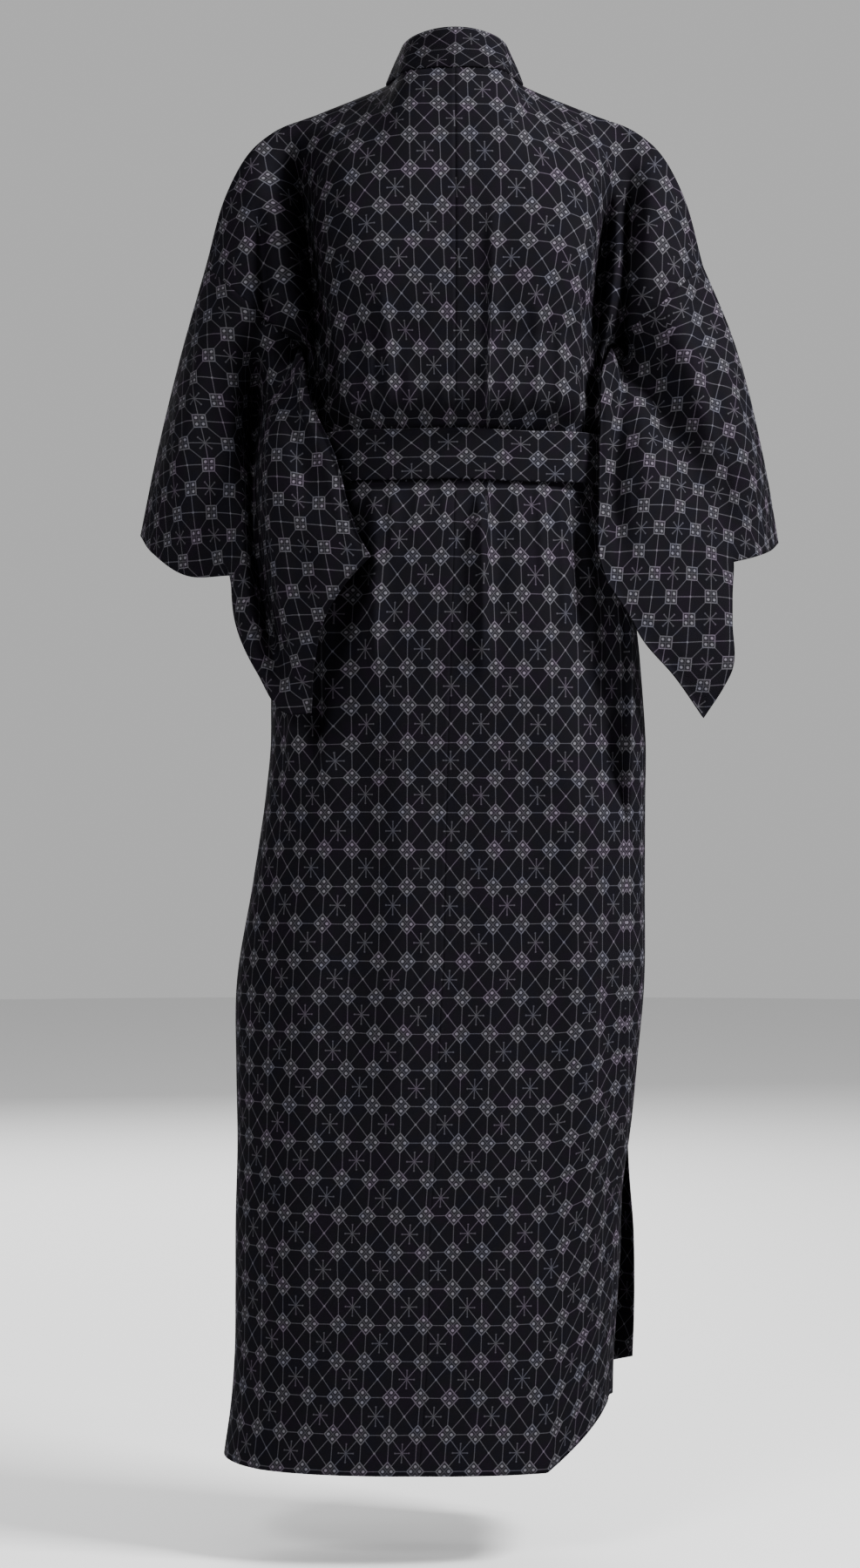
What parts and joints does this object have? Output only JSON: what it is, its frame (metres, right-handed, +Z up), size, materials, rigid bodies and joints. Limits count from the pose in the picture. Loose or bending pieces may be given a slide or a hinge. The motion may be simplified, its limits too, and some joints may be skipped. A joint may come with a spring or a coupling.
{
  "type": "cotton yukata robe",
  "caption": "Worn ankle-length cotton robe, crossed left over right, with standing collar band, hanging bag sleeves and a narrow tied belt of the same dark lattice cloth.",
  "frame": {"origin": "midway between the two shoulder points beside the neck, where the wearer's shoulders hold the robe", "axes": "+Z up, the front faces -Y, the wearer's left is +X"},
  "size_m": [0.683, 0.2905, 1.4983],
  "materials": {
    "cloth": "matt plain-weave cotton, near-black navy with a thin grey lattice",
    "collar": "the same cotton, folded double into a band",
    "belt": "the same cotton, folded lengthwise into a band"
  },
  "bodies": {
    "root": {"body_left": "cloth", "body_right": "cloth", "overlap_left": "cloth", "overlap_right": "cloth", "sleeve_left": "cloth", "sleeve_right": "cloth", "collar": "collar", "belt": "belt", "belt_knot": "belt", "belt_end_left": "belt", "belt_end_right": "belt"}
  },
  "joints": []
}
